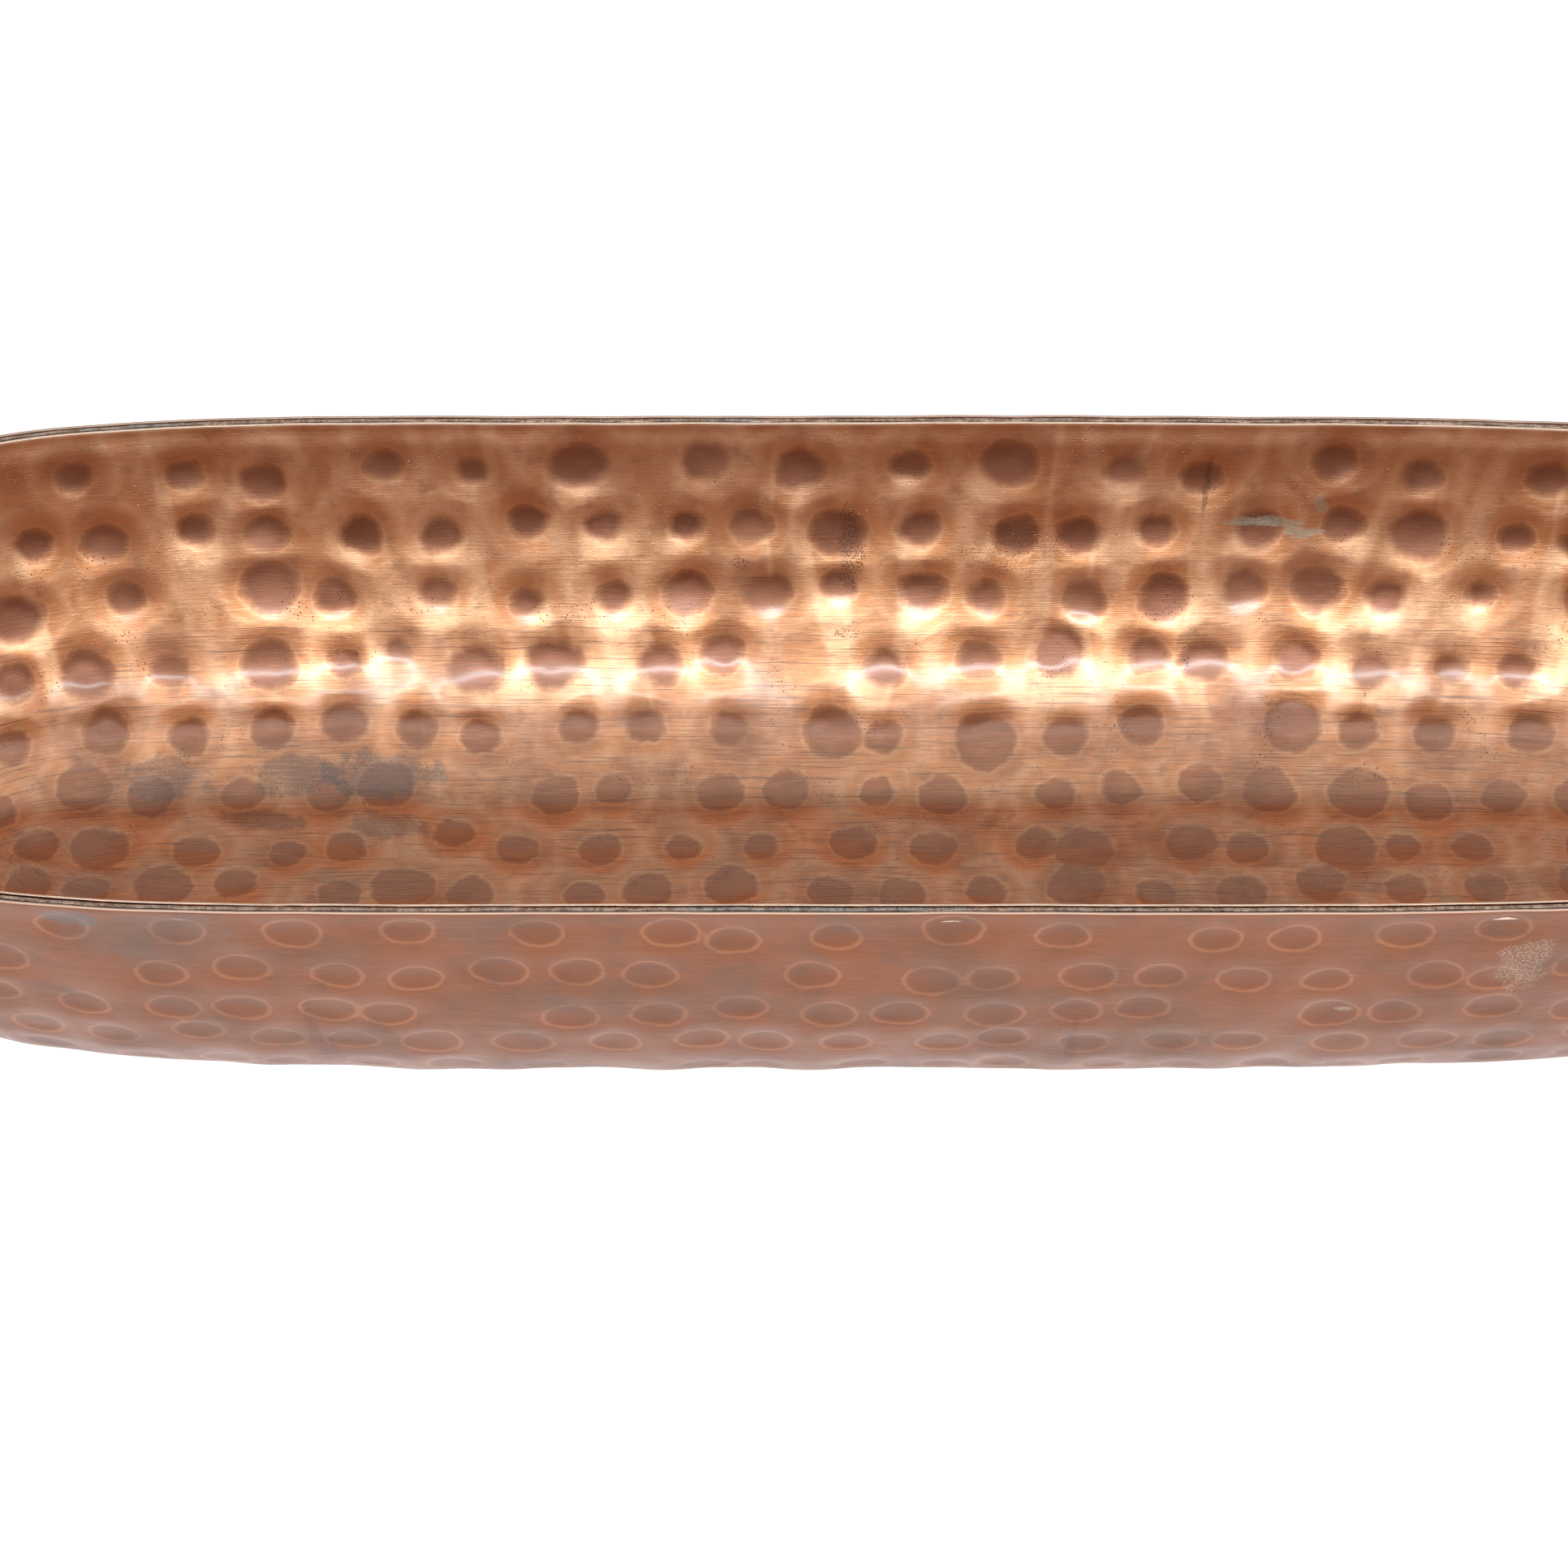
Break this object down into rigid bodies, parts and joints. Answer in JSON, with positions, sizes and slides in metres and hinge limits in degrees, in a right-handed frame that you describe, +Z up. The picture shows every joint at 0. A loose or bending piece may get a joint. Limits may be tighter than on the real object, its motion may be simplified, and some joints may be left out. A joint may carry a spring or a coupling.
{
  "type": "freestanding bathtub",
  "caption": "Long double-walled freestanding bathtub of hammered copper on a recessed plinth, with a cable-operated pop-up waste and overflow.",
  "frame": {"origin": "on the floor under the centre of the rim (bottom centre of the bounding box)", "axes": "+X along the tub towards the foot (waste) end, +Y across it, +Z up"},
  "size_m": [2.1, 0.66, 0.505],
  "materials": {
    "basin_copper": "hammered sheet copper, brushed along the tub, ridges bright and dents browned",
    "shell_copper": "hammered sheet copper, satin, dull pinkish brown",
    "rim_braze": "rough grey-brown brazing fill",
    "dark_copper": "oxidised sheet copper",
    "zinc_steel": "zinc-plated steel",
    "saddle_wood": "bare sawn hardwood",
    "rubber": "matt black rubber",
    "aged_brass": "copper-toned brass, satin",
    "raw_brass": "as-machined brass",
    "cable_sheath": "white plastic sheath"
  },
  "bodies": {
    "tub": {"inner_basin": "basin_copper", "outer_shell": "shell_copper", "rim_seam": "rim_braze", "bottom_pan": "dark_copper", "plinth_band": "dark_copper", "cradle_rail_left": "zinc_steel", "cradle_rail_right": "zinc_steel", "saddle_head": "saddle_wood", "saddle_pad_head": "rubber", "saddle_middle": "saddle_wood", "saddle_pad_middle": "rubber", "saddle_foot": "saddle_wood", "saddle_pad_foot": "rubber", "foot_pad_head_left": "rubber", "foot_stud_head_left": "zinc_steel", "foot_lock_nut_head_left": "zinc_steel", "foot_top_nut_head_left": "zinc_steel", "foot_pad_head_right": "rubber", "foot_stud_head_right": "zinc_steel", "foot_lock_nut_head_right": "zinc_steel", "foot_top_nut_head_right": "zinc_steel", "foot_pad_foot_left": "rubber", "foot_stud_foot_left": "zinc_steel", "foot_lock_nut_foot_left": "zinc_steel", "foot_top_nut_foot_left": "zinc_steel", "foot_pad_foot_right": "rubber", "foot_stud_foot_right": "zinc_steel", "foot_lock_nut_foot_right": "zinc_steel", "foot_top_nut_foot_right": "zinc_steel", "drain_gasket": "rubber", "shoe_gasket": "rubber", "overflow_gasket": "rubber", "drain_flange": "aged_brass", "overflow_bezel": "aged_brass", "drain_shoe": "raw_brass", "waste_elbow": "raw_brass", "waste_nut": "raw_brass", "tailpiece": "raw_brass", "tailpiece_nut": "raw_brass", "overflow_body": "raw_brass", "overflow_pipe": "raw_brass", "overflow_pipe_nut": "raw_brass", "cable_ferrule_upper": "zinc_steel", "cable_ferrule_lower": "zinc_steel", "waste_cable": "cable_sheath"},
    "knob": {"overflow_knob": "aged_brass", "knob_spindle": "aged_brass"},
    "stopper": {"stopper_cap": "aged_brass", "stopper_seal": "rubber", "stopper_stem": "aged_brass"},
    "plunger": {"cable_plunger": "zinc_steel"}
  },
  "joints": [
    {"name": "knob_turn", "type": "hinge", "parent": "tub", "child": "knob", "pos_m": [1.00878, 0, 0.39], "axis": [-0.9703, 0, 0.2418], "range_deg": [0, 90]},
    {"name": "stopper_lift", "type": "slide", "parent": "tub", "child": "stopper", "axis": [0, 0, 1], "range_m": [0, 0.01]},
    {"name": "plunger_lift", "type": "slide", "parent": "tub", "child": "plunger", "axis": [0, 0, 1], "range_m": [0, 0.01]}
  ],
  "couplings": [
    {"joint": "stopper_lift", "follows": "knob_turn", "m_per_rad": 0.00636},
    {"joint": "plunger_lift", "follows": "knob_turn", "m_per_rad": 0.00636}
  ]
}
